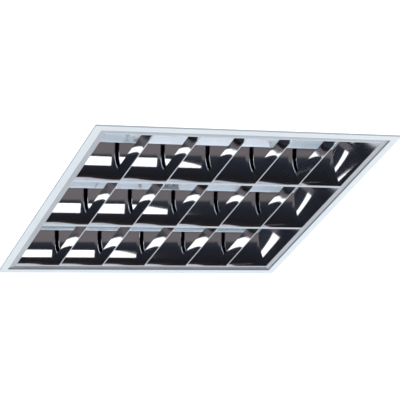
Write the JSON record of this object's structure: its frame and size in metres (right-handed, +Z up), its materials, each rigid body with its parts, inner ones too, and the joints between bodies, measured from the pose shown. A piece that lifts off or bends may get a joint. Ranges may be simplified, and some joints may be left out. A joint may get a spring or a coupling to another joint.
{
  "type": "recessed ceiling louvre light",
  "caption": "Square recessed ceiling light with a hinged mirror louvre of three rows of cells below tube lamps, and a flanged white tray.",
  "frame": {"origin": "centre of the opening at the underside of the flange", "axes": "+X along the lamps, +Y across the rows towards the louvre hinge, +Z up into the ceiling"},
  "size_m": [0.596, 0.596, 0.113],
  "materials": {
    "tray_white": "smooth white powder coat",
    "rail_grey": "satin anodised",
    "louvre_mirror": "bright mirror",
    "lamp_glass": "white coated inside",
    "cap_metal": "satin",
    "holder_plastic": "moulded",
    "gear_case": "white lacquer",
    "connector_grey": "moulded",
    "brass_parts": "turned",
    "grommet_rubber": "moulded",
    "wire_sleeve": "white sleeve",
    "zinc_steel": "bright zinc"
  },
  "bodies": {
    "housing": {"tray_body": "tray_white", "end_plate_left": "tray_white", "end_plate_right": "tray_white", "roof_rivets": "zinc_steel", "hanging_brackets": "zinc_steel", "bracket_rivets": "zinc_steel", "ballast_case": "gear_case", "ballast_connectors": "connector_grey", "ballast_screws": "zinc_steel", "terminal_block": "connector_grey", "terminal_screws": "brass_parts", "cable_grommet": "grommet_rubber", "earth_stud": "brass_parts", "earth_nut": "brass_parts", "internal_wiring": "wire_sleeve", "lampholder_left_1": "holder_plastic", "lampholder_right_1": "holder_plastic", "lampholder_left_2": "holder_plastic", "lampholder_right_2": "holder_plastic", "lampholder_left_3": "holder_plastic", "lampholder_right_3": "holder_plastic"},
    "louvre": {"louvre_rail_near": "rail_grey", "louvre_rail_far": "rail_grey", "louvre_rail_left": "rail_grey", "louvre_rail_right": "rail_grey", "trough_reflector_near_1": "louvre_mirror", "trough_reflector_far_1": "louvre_mirror", "trough_reflector_near_2": "louvre_mirror", "trough_reflector_far_2": "louvre_mirror", "trough_reflector_near_3": "louvre_mirror", "trough_reflector_far_3": "louvre_mirror", "cross_blade_1_1": "louvre_mirror", "cross_blade_1_2": "louvre_mirror", "cross_blade_1_3": "louvre_mirror", "cross_blade_1_4": "louvre_mirror", "cross_blade_1_5": "louvre_mirror", "cross_blade_2_1": "louvre_mirror", "cross_blade_2_2": "louvre_mirror", "cross_blade_2_3": "louvre_mirror", "cross_blade_2_4": "louvre_mirror", "cross_blade_2_5": "louvre_mirror", "cross_blade_3_1": "louvre_mirror", "cross_blade_3_2": "louvre_mirror", "cross_blade_3_3": "louvre_mirror", "cross_blade_3_4": "louvre_mirror", "cross_blade_3_5": "louvre_mirror", "end_reflectors_left": "louvre_mirror", "end_reflectors_right": "louvre_mirror", "hinge_pin_left": "zinc_steel", "hinge_pin_right": "zinc_steel", "spring_clips": "zinc_steel"},
    "lamp_1": {"lamp_tube_1": "lamp_glass", "lamp_caps_1": "cap_metal", "holder_rotors_1": "holder_plastic"},
    "lamp_2": {"lamp_tube_2": "lamp_glass", "lamp_caps_2": "cap_metal", "holder_rotors_2": "holder_plastic"},
    "lamp_3": {"lamp_tube_3": "lamp_glass", "lamp_caps_3": "cap_metal", "holder_rotors_3": "holder_plastic"}
  },
  "joints": [
    {"name": "louvre_swing", "type": "hinge", "parent": "housing", "child": "louvre", "pos_m": [0, 0.274, 0.006], "axis": [1, 0, 0], "range_deg": [0, 90]},
    {"name": "lamp_1_turn", "type": "hinge", "parent": "housing", "child": "lamp_1", "pos_m": [0, -0.18067, 0.07], "axis": [1, 0, 0], "range_deg": [0, 90]},
    {"name": "lamp_2_turn", "type": "hinge", "parent": "housing", "child": "lamp_2", "pos_m": [0, 0, 0.07], "axis": [1, 0, 0], "range_deg": [0, 90]},
    {"name": "lamp_3_turn", "type": "hinge", "parent": "housing", "child": "lamp_3", "pos_m": [0, 0.18067, 0.07], "axis": [1, 0, 0], "range_deg": [0, 90]}
  ]
}
